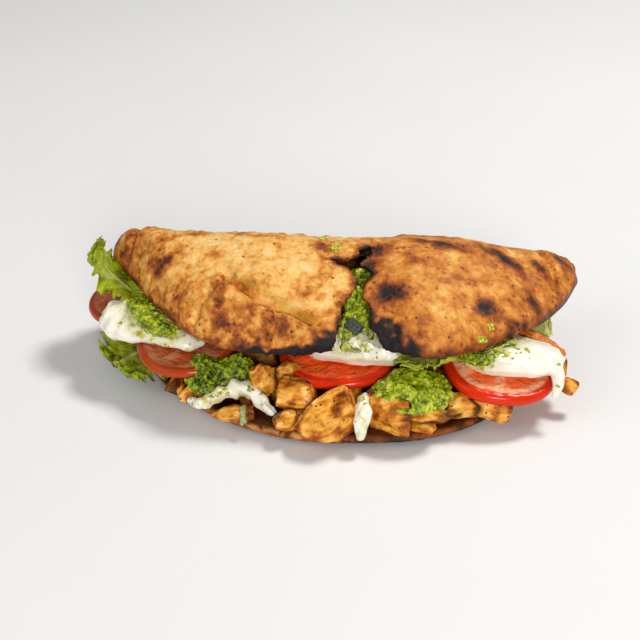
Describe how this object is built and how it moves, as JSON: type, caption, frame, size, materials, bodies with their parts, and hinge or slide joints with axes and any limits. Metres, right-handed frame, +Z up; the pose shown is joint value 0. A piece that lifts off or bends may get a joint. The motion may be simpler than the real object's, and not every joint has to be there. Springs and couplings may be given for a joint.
{
  "type": "chicken caprese sandwich",
  "caption": "Folded fire-baked flatbread sandwich filled with chicken, tomato slices, melted mozzarella, pesto and lettuce, with a torn, charred upper flap.",
  "frame": {"origin": "centre of the bounding box's underside, on the surface that the sandwich rests on", "axes": "+X along the fold, towards the pointed end with the raised lobe; +Y from the open mouth to the fold; +Z up"},
  "size_m": [0.2516, 0.1302, 0.0715],
  "materials": {
    "crust": "matt browned crust with charred spots",
    "chicken": "glazed seared meat",
    "tomato": "wet flesh and shiny skin",
    "mozzarella": "soft melted cheese",
    "pesto": "oily chopped herb paste",
    "lettuce": "fresh curled leaf",
    "basil": "dark shiny leaf",
    "pepper": "moist orange strip",
    "onion": "translucent pale slice"
  },
  "bodies": {
    "root": {"bread": "crust", "chicken": "chicken", "tomato_far_left": "tomato", "tomato_left": "tomato", "tomato_centre": "tomato", "tomato_right": "tomato", "mozzarella_centre": "mozzarella", "mozzarella_left": "mozzarella", "mozzarella_right": "mozzarella", "mozzarella_far_left": "mozzarella", "mozzarella_drip": "mozzarella", "mozzarella_strand": "mozzarella", "pesto_tear": "pesto", "pesto_left": "pesto", "pesto_right": "pesto", "pesto_on_left_cheese": "pesto", "pesto_on_right_cheese": "pesto", "lettuce_upper_left": "lettuce", "lettuce_lower_left": "lettuce", "lettuce_centre": "lettuce", "lettuce_right": "lettuce", "basil_leaf": "basil", "pepper_strip": "pepper", "onion_piece": "onion"}
  },
  "joints": []
}
